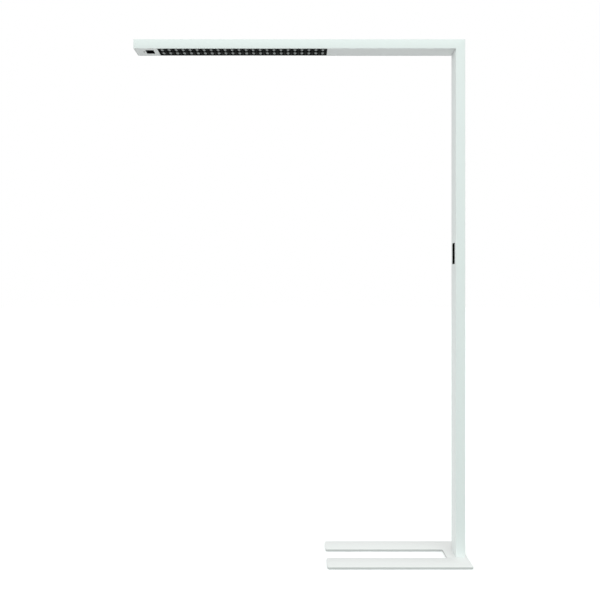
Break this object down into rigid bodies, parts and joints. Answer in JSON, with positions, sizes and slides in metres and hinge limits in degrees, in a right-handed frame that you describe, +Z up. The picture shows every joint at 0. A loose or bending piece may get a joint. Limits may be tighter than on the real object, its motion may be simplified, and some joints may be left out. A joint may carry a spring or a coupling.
{
  "type": "floor luminaire",
  "caption": "Free-standing L-shaped office luminaire: a column and a long arm with a black cell louvre below and an uplight above, on a flat U-shaped base.",
  "frame": {"origin": "on the floor under the column's axis, at the underside of the middle glide", "axes": "+Z up along the column, the arm reaches along -X, +Y across the profile; the control panel is on the column's -X face"},
  "size_m": [1.2515, 0.2, 1.95],
  "materials": {
    "white_coat": "satin",
    "white_steel": "satin",
    "black_gloss": "gloss",
    "black_plastic": "satin",
    "smoked_window": "gloss",
    "opal": "satin",
    "clear_lens": "gloss",
    "white_board": "satin",
    "green_board": "satin",
    "zinc": "satin",
    "stainless": "satin",
    "grey_plastic": "satin",
    "white_jacket": "matte",
    "grey_jacket": "matte",
    "rubber": "matte"
  },
  "bodies": {
    "lamp": {"column_profile": "white_coat", "arm_profile": "white_coat", "arm_end_cap": "white_coat", "arm_bottom_cover": "white_coat", "sensor_cover": "white_coat", "base_plate": "white_steel", "louvre": "black_gloss", "control_bezel": "black_plastic", "cord_gland": "black_plastic", "gland_nut": "black_plastic", "tact_switch_1": "black_plastic", "tact_switch_2": "black_plastic", "tact_switch_3": "black_plastic", "sensor_window": "smoked_window", "photocell_lens": "smoked_window", "uplight_cover": "opal", "lens_plate": "clear_lens", "direct_led_board_tip": "white_board", "direct_led_board_inner": "white_board", "uplight_led_board_1": "white_board", "uplight_led_board_2": "white_board", "uplight_led_board_3": "white_board", "sensor_board": "green_board", "control_board": "green_board", "foot_block": "zinc", "foot_screw_near": "zinc", "foot_screw_far": "zinc", "column_set_screw_lower": "zinc", "column_set_screw_upper": "zinc", "corner_bracket": "zinc", "arm_bracket_screw_near": "zinc", "arm_bracket_screw_far": "zinc", "driver_screw_out": "zinc", "driver_screw_in": "zinc", "board_screw_upper": "zinc", "board_screw_lower": "zinc", "column_bracket_screw_near": "stainless", "column_bracket_screw_far": "stainless", "pir_detector": "stainless", "led_driver": "grey_plastic", "terminal_block": "white_jacket", "mains_lead": "white_jacket", "driver_mains_lead": "white_jacket", "uplight_lead": "white_jacket", "direct_led_lead": "white_jacket", "control_lead": "grey_jacket", "sensor_lead": "grey_jacket", "floor_glide_1": "rubber", "floor_glide_2": "rubber", "floor_glide_3": "rubber", "floor_glide_4": "rubber", "floor_glide_5": "rubber"},
    "down_button": {"button_down": "black_plastic"},
    "auto_button": {"button_auto": "black_plastic"},
    "up_button": {"button_up": "black_plastic"}
  },
  "joints": [
    {"name": "down_press", "type": "slide", "parent": "lamp", "child": "down_button", "axis": [1, 0, 0], "range_m": [0, 0.0008], "stiffness_N_per_m": 2000},
    {"name": "auto_press", "type": "slide", "parent": "lamp", "child": "auto_button", "axis": [1, 0, 0], "range_m": [0, 0.0008], "stiffness_N_per_m": 2000},
    {"name": "up_press", "type": "slide", "parent": "lamp", "child": "up_button", "axis": [1, 0, 0], "range_m": [0, 0.0008], "stiffness_N_per_m": 2000}
  ]
}
